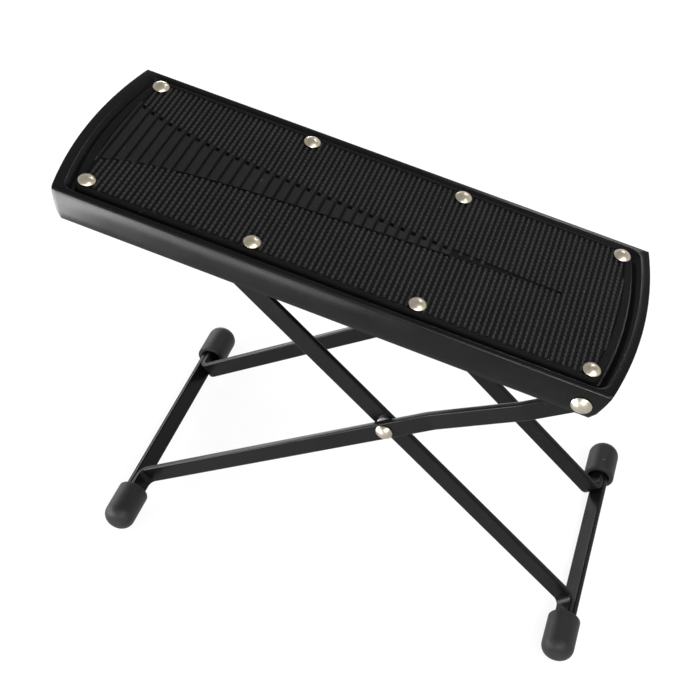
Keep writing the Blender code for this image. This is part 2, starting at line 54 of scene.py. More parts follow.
# Tread pressing. A bend is its radius and angle, and end_stretch is how much wider the
# slope of the recess is at the ends than along the sides
tread_length = 0.2550
tread_width = 0.1000
end_bow = 0.0060
end_radius = ((tread_width / 2) ** 2 + end_bow ** 2) / (2 * end_bow)
bow_centre = tread_length / 2 + end_bow - end_radius
sheet = 0.0012
flange_depth = 0.0155
flange_pull_in = 0.0012
front_bend = (0.0020, math.radians(80))
back_bend = (0.0013, math.radians(88))
shoulder_depth = 0.0065
side_rim = 0.0030
end_rim = 0.0044
end_stretch = 1.6
recess_slope = 0.0020
recess_depth = 0.0028
recess_corner = 0.0060
recess_fillet = 0.00058
side_support = 0.00038
end_support = 0.0007
cut_edge_round = 0.00025
cut_edge_least = math.radians(60)

# Least angles that are shaded as an edge, in degrees
plate_sharp = 35
piece_sharp = 40

# Mat; mid_round is how far the middle of a rounded edge stands in, as a share of its radius
mat_side_inset = 0.0060
mat_end_inset = 0.0090
mat_corner = 0.0030
mat_top = 0.0006
mat_bottom = -0.0025
mat_edge_round = 0.0004
mid_round = 0.3
groove_floor = -0.0003
border_side = 0.0016
border_end = 0.0032
border_slope = 0.0002
field_side = tread_width / 2 - mat_side_inset - border_side
field_bow = end_radius - mat_end_inset - border_end - border_slope

# Cross ribs of the mat, two to each step of the ladder
rib_pitch = 0.0026
rib_width = 0.00165
rib_crest = 0.0008
rib_crest_drop = 0.08
rib_flank_drop = 0.45
rib_flank_width = 0.88
ribs_before_ladder = 2
bead_pitch = 0.0026
bead_depth = 0.00062
bead_waist_share = 0.42
rib_step = 0.00065
link_groove = 0.0010
back_groove = 0.0028
link_end_front = -0.085
link_end_back = 0.062
tip_groove = 0.0014
# Half thickness of the painted shade sheets beside the ladder
shade_sheet_half_depth = 0.00005

# Tapering ladder in the middle of the mat
ladder_start = 0.1189
ladder_tip = 0.0950
ladder_pitch = 0.0052
ladder_groove = 0.0012
ladder_offset = 0.0005
ladder_taper_share = 0.0585
ladder_flare = 0.0108
ladder_flare_length = 0.0260
ladder_bar_round = 0.00025
ladder_link = 0.0018
first_bar_gap = 0.0005

# Material slots of the mat; its slab has the first
rib_slot = 1
bar_slot = 2
# Slot of the painted shade sheets
shade_sheet_slot = 3

# Rivets: a head is its radius, rise, rim thickness and shank radius, a tail its radius and rise
mat_rivet_along = (0.1161, 0.038097)
mat_rivet_across = 0.0388
mat_rivet_base = 0.0009
mat_rivet = (0.00405, 0.00205, 0.00015, 0.0020)
mat_rivet_tail = (0.0030, 0.0010)
mat_rivet_grip = 0.0050
rack_rivet_grip = 0.0068
hinge_rivet = (0.0046, 0.0020, 0.0002, 0.0025)
hinge_grip = 0.0051
hinge_inset = 0.0101
hinge_drop = 0.0099
pivot_rivet = (0.00425, 0.0022, 0.0002, 0.0025)
pivot_tail = (0.0036, 0.0014)

# Flat bar of the two frames
bar_width = 0.0096
bar_thickness = 0.0030
bar_edge_round = 0.0006
bar_edge_support = 1.5
foot_bend_radius = 0.0030
joggle_step = 0.0053
joggle_start = 0.0260
joggle_length = 0.0500
joggle_bend_radius = 0.0400
hinge_reach = 0.1036
foot_reach_a = 0.1616
foot_reach_b = 0.1424
latch_reach = 0.1220
washer_thickness = 0.0012
leg_a_top_face = tread_width / 2 - sheet - fit_gap
leg_a_face = leg_a_top_face - joggle_step
leg_b_face = leg_a_face - bar_thickness - washer_thickness - 2 * fit_gap
bar_end_gap = 0.0010

# Rubber feet
foot_radius = 0.00825
foot_length = 0.0226
foot_end_wall = 0.0035
foot_end_round = 0.0060
foot_lip_round = 0.0007
foot_stand_off = 0.0102
foot_bore = math.hypot(bar_thickness + fit_gap / 2, bar_width / 2) + fit_gap

# Steps that curves are cut into
corner_steps = 8
end_steps = 24
fillet_steps = 4
bend_steps = 8
shoulder_steps = 4
first_bar_steps = 16
dome_steps = 12
tail_steps = 6
foot_dome_steps = 10
foot_lip_steps = 4
cut_edge_steps = 2
bar_edge_steps = 4
bar_tip_steps = 12
bar_bend_steps = 12
rivet_segments = 48
foot_segments = 64

# Noises of the finishes: scale per metre, and detail
paint_cloud = (60.0, 4.0)
paint_dust = (900.0, 2.0)
paint_peel = (750.0, 3.0)
rubber_grain = (1400.0, 4.0)
rubber_cloud = (45.0, 3.0)
rubber_specks = (620.0, 1.0)
steel_cloud = (300.0, 3.0)
steel_marks = (2200.0, 2.0)

# Limits between which a noise spreads a roughness
cloud_limits = (0.3, 0.7)
grain_limits = (0.2, 0.8)
roughness_spread = 0.06

# Black paint
paint_dark = (0.0028, 0.0028, 0.0029)
paint_light = (0.0044, 0.0044, 0.0046)
paint_dust_color = (0.06, 0.06, 0.058)
paint_dust_limits = (0.74, 0.80)
paint_roughness = (0.20, 0.28)
paint_gloss = 0.10

# Rubbers: darker grey, lighter grey, roughness, gloss, and whether low places get painted shade
rubbers = {
    "foot_rubber": (0.0075, 0.0125, 0.52, 0.20, False),
    # Painted light and shade: the mat is one rubber, its ribs in a lighter tone as painted light
    # and its slab and bars darker as painted shade
    "shaded_slab_rubber": (0.0034, 0.0047, 0.64, 0.06, False),
    "lit_rib_rubber": (0.0176, 0.0246, 0.58, 0.16, True),
    "shaded_bar_rubber": (0.0060, 0.0082, 0.58, 0.12, True),
    # Painted shade: nearly black sheets in the gaps beside the ladder
    "painted_shade_sheet": (0.0008, 0.0012, 0.70, 0.03, False),
}
# Colour of the painted shade at the floor of the grooves
painted_groove_shade_color = (0.0030, 0.0030, 0.0031)
speck_color = (0.22, 0.21, 0.20)
speck_limits = (0.805, 0.83)
worn_limits = (0.45, 0.75)
worn_share = 0.4
worn_gain = 1.4

# Plated steels: darker colour, lighter colour, roughness
platings = {
    "nickel_plate": ((0.50, 0.445, 0.34), (0.60, 0.54, 0.43), 0.36),
    # Painted shade: a darker copy of the nickel for the hinge and pivot rivets
    "shaded_nickel_plate": ((0.31, 0.285, 0.23), (0.43, 0.40, 0.33), 0.33),
    # Pivot washers: a rougher plating whose paler colour is painted light, so they read as lit
    "pale_washer_plate": ((0.66, 0.66, 0.64), (0.76, 0.76, 0.74), 0.55),
}

# Bump of each finish: strength and depth
paint_bump = (0.10, 0.0001)
rubber_bump = (0.25, 0.0001)
steel_bump = (0.12, 0.00005)

# Floor: half its width, its finish, and the share of plain white that is seen in it
floor_reach = 6.0
floor_color = (0.90, 0.90, 0.90, 1)
floor_roughness = 0.9
floor_gloss = 0.1
floor_glow = 0.85

# Sky: upward parts of a direction, and the strength of the light from there
sky_limits = (0.0, 0.6)
sky_strength = (1.0, 0.44)

# Area lamps: name, place, target, size and radiance
lamps = (
    ("key", (0.65, -0.41, 0.79), (0, 0, 0.15), (0.50, 0.50), 6.8),
    ("strip", (0.27, -0.77, 0.70), (0, 0, 0.15), (0.60, 0.12), 7.0),
    ("low_strip", (0.26, -0.85, 0.41), (0.09, -0.05, 0.17), (0.32, 0.11), 46.0),
    ("window_front", (-0.55, -0.55, 0.085), (0, 0, 0.085), (0.50, 0.17), 19.0),
    ("window_left", (-0.72, -0.12, 0.085), (0, 0, 0.085), (0.60, 0.17), 15.0),
    ("window_back", (-0.46, 0.46, 0.11), (0, 0, 0.11), (0.60, 0.12), 9.0),
    ("bounce", (-0.41, -0.36, 0.004), (-0.41, -0.359, 1.0), (0.32, 0.44), 34.0),
    ("far_bounce", (-0.15, -0.41, 0.004), (-0.15, -0.409, 1.0), (0.18, 0.17), 13.0),
    ("rim_light", (0.21, 0.83, 0.77), (0.08, 0.047, 0.178), (0.18, 0.12), 20.0),
)
fill_lamp = ("fill", (0.2, 0.3, 1.9), (0, 0, 0), (1.6, 1.6), 1.35)


# Materials

def new_material(name):
    material = bpy.data.materials.new(name)
    material.use_nodes = True
    nodes = material.node_tree.nodes
    return material, nodes, material.node_tree.links, nodes["Principled BSDF"]


def add_node(nodes, kind, **values):
    """A shader node with its properties and inputs set by name."""
    node = nodes.new(kind)
    for key, value in values.items():
        if hasattr(node, key):
            setattr(node, key, value)
        else:
            node.inputs[key].default_value = value
    return node


def add_noise(nodes, links, place, noise):
    scale, detail = noise
    node = add_node(nodes, "ShaderNodeTexNoise", Scale=scale, Detail=detail)
    links.new(place, node.inputs["Vector"])
    return node.outputs["Fac"]


def add_range(nodes, links, value, source, target=(0.0, 1.0)):
    """Map a value from one pair of limits to another, clamped."""
    node = nodes.new("ShaderNodeMapRange")
    for key, number in zip(("From Min", "From Max", "To Min", "To Max"), (*source, *target)):
        node.inputs[key].default_value = number
    links.new(value, node.inputs["Value"])
    return node.outputs["Result"]


def add_mix(nodes, links, factor, first, second):
    """Blend of two colours; either may be a socket."""
    node = nodes.new("ShaderNodeMix")
    node.data_type = "RGBA"
    links.new(factor, node.inputs["Factor"])
    for key, color in (("A", first), ("B", second)):
        if isinstance(color, tuple):
            node.inputs[key].default_value = (*color, 1)
        else:
            links.new(color, node.inputs[key])
    return node.outputs["Result"]


def add_bump(nodes, links, shader, height, bump):
    strength, depth = bump
    node = add_node(nodes, "ShaderNodeBump", Strength=strength, Distance=depth)
    links.new(height, node.inputs["Height"])
    links.new(node.outputs["Normal"], shader.inputs["Normal"])


def satin_paint():
    """Black stove enamel with a faint orange peel, small changes of gloss and a little dust."""
    material, nodes, links, shader = new_material("satin_black_paint")
    place = nodes.new("ShaderNodeTexCoord").outputs["Object"]
    cloud = add_noise(nodes, links, place, paint_cloud)
    dust = add_noise(nodes, links, place, paint_dust)
    dust = add_range(nodes, links, dust, paint_dust_limits)
    color = add_mix(nodes, links, cloud, paint_dark, paint_light)
    color = add_mix(nodes, links, dust, color, paint_dust_color)
    links.new(color, shader.inputs["Base Color"])
    roughness = add_range(nodes, links, cloud, cloud_limits, paint_roughness)
    links.new(roughness, shader.inputs["Roughness"])
    shader.inputs["Specular IOR Level"].default_value = paint_gloss
    peel = add_noise(nodes, links, place, paint_peel)
    add_bump(nodes, links, shader, peel, paint_bump)
    return material


def moulded_rubber(name, dark, light, roughness, gloss, painted_groove_shade):
    """Matt black rubber with a fine grain, paler worn patches and a few specks of dust.

    When asked, what lies below the mat's top is painted darker towards the groove floor: painted
    shade in the grooves.
    """
    material, nodes, links, shader = new_material(name)
    place = nodes.new("ShaderNodeTexCoord").outputs["Object"]
    grain = add_noise(nodes, links, place, rubber_grain)
    cloud = add_noise(nodes, links, place, rubber_cloud)
    color = add_mix(nodes, links, grain, (dark,) * 3, (light,) * 3)
    worn = add_range(nodes, links, cloud, worn_limits, (0.0, worn_share))
    color = add_mix(nodes, links, worn, color, (light * worn_gain,) * 3)
    # Painted shade: darker towards the groove floor
    if painted_groove_shade:
        split = nodes.new("ShaderNodeSeparateXYZ")
        links.new(place, split.inputs["Vector"])
        height = add_range(nodes, links, split.outputs["Z"], (groove_floor, mat_top))
        color = add_mix(nodes, links, height, painted_groove_shade_color, color)
    specks = add_noise(nodes, links, place, rubber_specks)
    specks = add_range(nodes, links, specks, speck_limits)
    color = add_mix(nodes, links, specks, color, speck_color)
    links.new(color, shader.inputs["Base Color"])
    spread = (roughness - roughness_spread, roughness + roughness_spread)
    links.new(add_range(nodes, links, grain, grain_limits, spread), shader.inputs["Roughness"])
    shader.inputs["Specular IOR Level"].default_value = gloss
    add_bump(nodes, links, shader, grain, rubber_bump)
    return material


def plated_steel(name, dark, light, roughness):
    """Plated steel with fine handling marks and slightly uneven polish."""
    material, nodes, links, shader = new_material(name)
    place = nodes.new("ShaderNodeTexCoord").outputs["Object"]
    cloud = add_noise(nodes, links, place, steel_cloud)
    marks = add_noise(nodes, links, place, steel_marks)
    shader.inputs["Metallic"].default_value = 1.0
    links.new(add_mix(nodes, links, cloud, dark, light), shader.inputs["Base Color"])
    spread = (roughness - roughness_spread, roughness + roughness_spread)
    links.new(add_range(nodes, links, cloud, cloud_limits, spread), shader.inputs["Roughness"])
    add_bump(nodes, links, shader, marks, steel_bump)
    return material


# Shapes and pieces

def arc(centre, radius, start, end, steps):
    points = []
    for i in range(steps + 1):
        angle = start + (end - start) * i / steps
        points.append((centre[0] + radius * math.cos(angle), centre[1] + radius * math.sin(angle)))
    return points


def add_skin(shape, rows, closed=False):
    """Quads between successive rows of points, each row open or closed."""
    rings = [[shape.verts.new(point) for point in row] for row in rows]
    for first, second in zip(rings, rings[1:]):
        count = len(first)
        for i in range(count if closed else count - 1):
            j = (i + 1) % count
            shape.faces.new((first[i], first[j], second[j], second[i]))
    return rings


def set_slot(rings, slot):
    """Give the faces that meet some rows of points a material slot."""
    for ring in rings:
        for vert in ring:
            for face in vert.link_faces:
                face.material_index = slot


def add_piece(name, shape, material, body, matrix, node, sharp=piece_sharp,
              own_axes=False):
    """Turn a shape into a piece that stands for a node and rides on a body.

    Its place goes into its mesh, as in the model's own nodes, unless it keeps its own axes.
    """
    mesh = bpy.data.meshes.new(name)
    bmesh.ops.recalc_face_normals(shape, faces=shape.faces)
    if not own_axes:
        shape.transform(matrix)
    shape.to_mesh(mesh)
    shape.free()
    mesh.materials.append(material)
    mesh.shade_smooth()
    mesh.set_sharp_from_angle(angle=math.radians(sharp))
    piece = bpy.data.objects.new(name, mesh)
    bpy.context.scene.collection.objects.link(piece)
    if own_axes:
        piece.matrix_world = matrix
        bpy.context.view_layer.update()
    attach(piece, body)
    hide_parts(node)
    return piece


def apply_modifiers(piece):
    shapes = bpy.context.evaluated_depsgraph_get()
    mesh = bpy.data.meshes.new_from_object(piece.evaluated_get(shapes), depsgraph=shapes)
    piece.modifiers.clear()
    mesh.name = piece.data.name
    piece.data = mesh


# Outlines of plate and mat

def end_reach(across):
    """Distance from the tread's middle to its bowed end, at a place across it."""
    return bow_centre + math.sqrt(end_radius ** 2 - across ** 2)


def bowed_outline(side_inset, end_inset, corner):
    """Closed outline with bowed ends and rounded corners, from the front right corner."""
    bow = end_radius - end_inset
    corner_across = tread_width / 2 - side_inset - corner
    corner_along = bow_centre + math.sqrt((bow - corner) ** 2 - corner_across ** 2)
    touch = math.asin(corner_across / (bow - corner))
    quarter = arc((corner_along, -corner_across), corner, -math.pi / 2, -touch, corner_steps)
    end = arc((bow_centre, 0), bow, -touch, touch, end_steps)[1:-1]
    right = quarter + end + [(x, -y) for x, y in reversed(quarter)]
    return right + [(-x, -y) for x, y in right]


def rim_corner(top_of_bend):
    """One front corner of the flat top, from the straight side to the bowed end."""
    corner_along = end_reach(top_of_bend)
    inner = bowed_outline(side_rim, end_rim, recess_corner)
    side_along = inner[0][0]
    right = []
    for i in range(corner_steps + 1):
        share = i / (corner_steps / 2)
        if share <= 1:
            right.append((side_along + (corner_along - side_along) * share, -top_of_bend))
        else:
            across = -top_of_bend + (inner[corner_steps][1] + top_of_bend) * (share - 1)
            right.append((end_reach(across), across))
    return right


def rim_outline(front_top, back_top):
    """Outer edge of the tread's flat top, one point for each point of the recess outline."""
    inner = bowed_outline(side_rim, end_rim, recess_corner)
    right = rim_corner(front_top)
    for i in range(corner_steps + 1, corner_steps + end_steps):
        right.append((end_reach(inner[i][1]), inner[i][1]))
    right += [(x, -y) for x, y in reversed(rim_corner(back_top))]
    return right + [(-x, y) for x, y in reversed(right)]


def outline_rows(loops):
    """Rows of points from each loop's side inset, end inset, corner and height."""
    rows = []
    for side, end, corner, height in loops:
        rows.append([(x, y, height) for x, y in bowed_outline(side, end, corner)])
    return rows


# Plate

def recess_profile():
    """Inset and height of each loop from the rim down the filleted slope to the recess floor."""
    slope = math.atan2(recess_depth, recess_slope)
    reach = recess_fillet * math.tan(slope / 2)
    upper = []
    for i in range(fillet_steps + 1):
        angle = slope * i / fillet_steps
        upper.append((recess_fillet * math.sin(angle) - reach,
                      recess_fillet * (math.cos(angle) - 1)))
    lower = [(recess_slope - inset, -recess_depth - height) for inset, height in reversed(upper)]
    return upper + lower + [(recess_slope + 2 * reach, -recess_depth)]


def flange_profile(bend_radius, bend_angle):
    """Across, height and unrolled distance of each row from the rim to the flange's lower edge."""
    lean = math.pi / 2 - bend_angle
    shoulder_radius = shoulder_depth / math.sin(lean)
    bulge = shoulder_radius * (1 - math.cos(lean))
    top_of_bend = tread_width / 2 - bulge - bend_radius * math.sin(bend_angle)
    rows = []
    for i in range(bend_steps + 1):
        angle = bend_angle * i / bend_steps
        rows.append((top_of_bend + bend_radius * math.sin(angle),
                     bend_radius * (math.cos(angle) - 1),
                     top_of_bend + bend_radius * angle))
    across, height, unrolled = rows[-1]
    for i in range(1, shoulder_steps + 1):
        turned = lean * i / shoulder_steps
        angle = bend_angle + turned
        rows.append((across + shoulder_radius * (math.sin(angle) - math.sin(bend_angle)),
                     height + shoulder_radius * (math.cos(angle) - math.cos(bend_angle)),
                     unrolled + shoulder_radius * turned))
    across, height, unrolled = rows[-1]
    rows.append((across, (height - flange_depth) / 2, unrolled + (height + flange_depth) / 2))
    rows.append((across, -flange_depth, unrolled + height + flange_depth))
    return rows


def add_flange(shape, rim, side, rows):
    """Skin from one long edge of the rim to the flange's lower edge, its ends along the bow."""
    top = rows[0][0]
    row = sorted((vert for vert in rim if abs(vert.co.y - side * top) < same_line),
                 key=lambda vert: vert.co.x)
    straight = min(abs(vert.co.x) for vert in row)
    first_reach = row[-1].co.x
    alongs = [vert.co.x for vert in row]
    for across, height, unrolled in rows[1:]:
        reach = end_reach(unrolled)
        if height == -flange_depth:
            reach -= flange_pull_in
        stretch = (reach - straight) / (first_reach - straight)
        lower = []
        for along in alongs:
            drawn = straight + (abs(along) - straight) * stretch
            lower.append(shape.verts.new((math.copysign(drawn, along), side * across, height)))
        for i in range(len(row) - 1):
            shape.faces.new((row[i], row[i + 1], lower[i + 1], lower[i]))
        row = lower


def make_plate(material, tread_frame):
    """Pressed sheet: flat bowed rim, filleted recess, long edges bent over into flanges."""
    flanges = {-1: flange_profile(*front_bend), 1: flange_profile(*back_bend)}
    shape = bmesh.new()
    rows = [[(x, y, 0) for x, y in rim_outline(flanges[-1][0][0], flanges[1][0][0])]]
    loops = [(side_rim - side_support, end_rim - end_support, recess_corner + side_support, 0)]
    for inset, height in recess_profile():
        loops.append((side_rim + inset, end_rim + inset * end_stretch,
                      recess_corner - inset, height))
    rings = add_skin(shape, rows + outline_rows(loops), closed=True)
    shape.faces.new(rings[-1])
    for side, profile in flanges.items():
        add_flange(shape, rings[0], side, profile)
    plate = add_piece("pressed_plate", shape, material, "tread", tread_frame, "tread_plate",
                      plate_sharp)
    shell = plate.modifiers.new("sheet", "SOLIDIFY")
    shell.thickness = sheet
    shell.offset = -1
    shell.use_even_offset = True
    edge = plate.modifiers.new("edge", "BEVEL")
    edge.width = cut_edge_round
    edge.segments = cut_edge_steps
    edge.limit_method = "ANGLE"
    edge.angle_limit = cut_edge_least
    apply_modifiers(plate)
    plate.data.set_sharp_from_angle(angle=math.radians(plate_sharp))


# Mat

def add_mat_base(shape):
    """Slab with its raised border and the sunk field that the ribs stand in."""
    part_round = mat_edge_round * mid_round
    field = (border_side + border_slope, border_end + border_slope)
    loops = []
    for side, end, height in (
            (0, 0, mat_bottom),
            (0, 0, mat_top - mat_edge_round),
            (part_round, part_round, mat_top - part_round),
            (mat_edge_round, mat_edge_round, mat_top),
            (border_side, border_end, mat_top),
            (*field, mat_top - border_slope),
            (*field, groove_floor)):
        loops.append((mat_side_inset + side, mat_end_inset + end,
                      max(mat_corner - side, border_slope), height))
    rings = add_skin(shape, outline_rows(loops), closed=True)
    shape.faces.new(rings[0])
    shape.faces.new(rings[-1])


def ladder_half_width(along):
    """Half the width of the ladder at a place along it: a taper that flares at its start."""
    flare = ladder_flare * math.exp(-(along + ladder_start) / ladder_flare_length)
    return ladder_taper_share * (ladder_tip - along) + flare


def field_end(across, gap):
    """How far along the sunk field reaches at a place across it, less a gap."""
    return bow_centre + math.sqrt((field_bow - gap) ** 2 - across ** 2)


def field_half_width(along):
    """Half the width of the sunk field at a place along it, less towards its bowed ends."""
    reach = abs(along) - bow_centre
    if reach >= field_bow:
        return 0
    return min(field_side, math.sqrt(field_bow ** 2 - reach ** 2))


def add_rib(shape, along, start, end, phase):
    """One rounded rib across the mat, a row of beads with narrow necks between them."""
    if end - start < rib_step:
        return
    height = mat_top - groove_floor
    crest = rib_crest / 2
    steps = max(2, round((end - start) / rib_step))
    rows = []
    for i in range(steps + 1):
        across = start + (end - start) * i / steps
        neck = 1 - abs(math.cos(math.pi * (across / bead_pitch + phase)))
        top = mat_top - bead_depth * neck
        half = rib_width / 2 * (1 - bead_waist_share * neck)
        flank = half * rib_flank_width
        shoulder = top - height * rib_crest_drop
        waist = top - height * rib_flank_drop
        rows.append([(along - half, across, groove_floor), (along - flank, across, waist),
                     (along - crest, across, shoulder), (along, across, top),
                     (along + crest, across, shoulder), (along + flank, across, waist),
                     (along + half, across, groove_floor)])
    rings = add_skin(shape, rows)
    shape.faces.new(rings[0])
    shape.faces.new(rings[-1])
    set_slot(rings, rib_slot)


def add_ribs(shape):
    """Ribs over the whole field; every second one runs into the border and the ladder's bar."""
    first = -ladder_start + ladder_groove / 2 + rib_pitch / 2
    for i in range(-ribs_before_ladder, int(tread_length / rib_pitch)):
        along = first + i * rib_pitch
        edge = field_half_width(along)
        if edge <= 0:
            continue
        linked = i % 2 == 1
        outer = edge if linked or edge < field_side else edge - link_groove
        if -ladder_start < along < ladder_tip:
            inner = max(ladder_half_width(along), tip_groove / 2)
            front = inner - (link_groove if linked and along < link_end_front else 0)
            back = inner - (back_groove if linked and along < link_end_back else 0)
            add_rib(shape, along, -outer, ladder_offset - front, i / 2)
            add_rib(shape, along, ladder_offset + back, outer, i / 2)
        else:
            add_rib(shape, along, -outer, outer, i / 2)


def add_block(shape, outline, bottom, top, edge, slot):
    """A low block over an outline in XY, with its top edge drawn in a little."""
    middle = Vector((sum(x for x, y in outline), sum(y for x, y in outline))) / len(outline)
    drawn = []
    for x, y in outline:
        inward = middle - Vector((x, y))
        drawn.append((x + math.copysign(min(edge, abs(inward.x)), inward.x),
                      y + math.copysign(min(edge, abs(inward.y)), inward.y)))
    rows = [[(x, y, bottom) for x, y in outline], [(x, y, top - edge) for x, y in outline],
            [(x, y, top) for x, y in drawn]]
    rings = add_skin(shape, rows, closed=True)
    shape.faces.new(rings[-1])
    set_slot(rings, slot)


def add_bar(shape, outline):
    """A bar of the ladder, or a link from one, as high as the mat."""
    add_block(shape, outline, groove_floor, mat_top, ladder_bar_round, bar_slot)


def add_shade_sheet(shape, start, end, side, width):
    """Painted shade: a thin, nearly black sheet on the floor of the gap between the ladder and the
    ends of the ribs on one side.
    """
    outer_start = max(ladder_half_width(start), width)
    outer_end = max(ladder_half_width(end), width)
    outline = [(start, ladder_offset + side * (outer_start - width)),
               (end, ladder_offset + side * (outer_end - width)),
               (end, ladder_offset + side * outer_end),
               (start, ladder_offset + side * outer_start)]
    add_block(shape, outline[::side], groove_floor - shade_sheet_half_depth, groove_floor + shade_sheet_half_depth,
              shade_sheet_half_depth, shade_sheet_slot)


def add_ladder(shape):
    """Broad bars between the ladder's grooves, tied to the ribs by short links."""
    along = -ladder_start
    while ladder_half_width(along + ladder_pitch) - back_groove > 0:
        near = along + ladder_groove
        far = along + ladder_pitch
        wide = ladder_half_width(near)
        narrow = ladder_half_width(far)
        add_bar(shape, [(near, ladder_offset - wide + link_groove),
                        (far, ladder_offset - narrow + link_groove),
                        (far, ladder_offset + narrow - back_groove),
                        (near, ladder_offset + wide - back_groove)])
        for side, groove, last in ((-1, link_groove, link_end_front),
                                   (1, back_groove, link_end_back)):
            if far > last:
                continue
            reach = ladder_offset + side * (narrow - groove - ladder_bar_round)
            tip = ladder_offset + side * (narrow + ladder_bar_round)
            add_bar(shape, [(far - ladder_link, reach), (far, reach), (far, tip),
                            (far - ladder_link, tip)])
        # Painted shade sheets in the gaps beside this bar
        add_shade_sheet(shape, near, far - ladder_link, 1, back_groove)
        if far > link_end_front:
            add_shade_sheet(shape, along, far, -1, link_groove)
        along = far
    # Painted shade sheets along the ladder's tip
    for side in (1, -1):
        add_shade_sheet(shape, along, ladder_tip, side, tip_groove / 2)


def add_first_bar(shape):
    """Bar between the curved end border and the ladder's first groove."""
    wide = ladder_half_width(-ladder_start) - link_groove
    outline = []
    for i in range(first_bar_steps + 1):
        across = ladder_offset + wide * (2 * i / first_bar_steps - 1)
        outline.append((-field_end(across, first_bar_gap), across))
    outline += [(-ladder_start, ladder_offset + wide), (-ladder_start, ladder_offset - wide)]
    add_bar(shape, outline)


def make_mat(materials, tread_frame):
    """Rubber mat in its own axes, with one material for each of its slots."""
    shape = bmesh.new()
    add_mat_base(shape)
    add_ribs(shape)
    add_ladder(shape)
    add_first_bar(shape)
    mat = add_piece("ribbed_mat", shape, materials[0], "tread", tread_frame, "rubber_mat",
                    own_axes=True)
    for material in materials[1:]:
        mat.data.materials.append(material)


# Turned pieces

def dome(radius, rise, steps):
    """Profile of a low dome from its crown to its rim, standing on zero."""
    sphere = (radius * radius + rise * rise) / (2 * rise)
    half_angle = math.asin(min(1, radius / sphere))
    points = []
    for i in range(steps + 1):
        angle = half_angle * i / steps
        points.append((sphere * math.sin(angle), rise - sphere * (1 - math.cos(angle))))
    return points


def rivet_profile(head, grip, tail):
    """A domed rivet whose head seats on zero and whose tail closes below the grip."""
    radius, rise, rim, shank = head
    crown = [(r, rim + height) for r, height in dome(radius, rise, dome_steps)]
    closed = [(r, -grip - height) for r, height in reversed(dome(*tail, tail_steps))]
    return crown + [(radius, 0), (shank, 0), (shank, -grip)] + closed


def turned_shape(profile, segments):
    """A profile of (radius, height), closed at both ends on the axis, turned about Z."""
    shape = bmesh.new()
    rings = []
    for radius, height in profile:
        if radius < same_point:
            rings.append([shape.verts.new((0, 0, height))])
            continue
        ring = []
        for i in range(segments):
            angle = 2 * math.pi * i / segments
            ring.append(shape.verts.new((radius * math.cos(angle), radius * math.sin(angle),
                                         height)))
        rings.append(ring)
    for first, second in zip(rings, rings[1:]):
        for i in range(segments):
            j = (i + 1) % segments
            corners = [first[i % len(first)], first[j % len(first)],
                       second[j % len(second)], second[i % len(second)]]
            shape.faces.new(list(dict.fromkeys(corners)))
    return shape


def side_name(side):
    return "front" if side < 0 else "back"


def facing(side):
    """Turn that points a turned piece's top out of the front or back side."""
    return Matrix.Rotation(math.radians(-90) * side, 4, "X")


def add_rivet(name, head, grip, tail, material, body, place):
    """A domed rivet that stands for the node of its name."""
    shape = turned_shape(rivet_profile(head, grip, tail), rivet_segments)
    add_piece("head_" + name, shape, material, body, place, name)


def make_rivets(material, shaded_side_material, tread_frame, frame_a):
    """Rivets of the mat, and at the sides those of the hinge and the pivot, these in a darker copy
    of the nickel as painted shade.
    """
    outer, inner = mat_rivet_along
    pivot_grip = leg_a_face - leg_b_face + bar_thickness + 2 * fit_gap
    for side in (-1, 1):
        for number, along in enumerate((-outer, -inner, inner, outer), 1):
            grip = rack_rivet_grip if along < 0 else mat_rivet_grip
            place = Matrix.Translation((along, side * mat_rivet_across, mat_rivet_base))
            add_rivet(f"mat_rivet_{side_name(side)}_{number}", mat_rivet, grip, mat_rivet_tail,
                      material, "tread", tread_frame @ place)
        place = Matrix.Translation((tread_length / 2 - hinge_inset,
                                    side * (tread_width / 2 + fit_gap), -hinge_drop))
        add_rivet(f"hinge_rivet_{side_name(side)}", hinge_rivet, hinge_grip, pivot_tail,
                  shaded_side_material, "tread", tread_frame @ place @ facing(side))
        place = Matrix.Translation((0, side * (leg_a_face + fit_gap), 0))
        add_rivet(f"pivot_rivet_{side_name(side)}", pivot_rivet, pivot_grip, pivot_tail,
                  shaded_side_material, "frame_a", frame_a @ place @ facing(side))


def foot_profile():
    """Closed domed end at the top, open mouth at zero, with the bore inside."""
    shoulder = foot_radius - foot_end_round
    base = foot_length - foot_end_round
    bore_end = foot_length - foot_end_wall
    crown = [(shoulder + x, base + y)
             for x, y in arc((0, 0), foot_end_round, math.pi / 2, 0, foot_dome_steps)]
    lip = arc((foot_radius - foot_lip_round, foot_lip_round), foot_lip_round, 0, -math.pi / 2,
              foot_lip_steps)
    return ([(0, foot_length)] + crown + [(foot_radius, foot_lip_round * 2)] + lip
            + [(foot_bore, 0), (foot_bore, bore_end), (0, bore_end)])


def make_feet(material, letter, axes, foot_reach, foot_mouth):
    """The two rubber feet of one frame."""
    for side in (-1, 1):
        name = f"foot_{letter}_{side_name(side)}"
        shape = turned_shape(foot_profile(), foot_segments)
        place = axes @ Matrix.Translation((-foot_reach, side * foot_mouth, 0)) @ facing(side)
        add_piece("rubber_" + name, shape, material, f"frame_{letter}", place, name)


# Flat bars

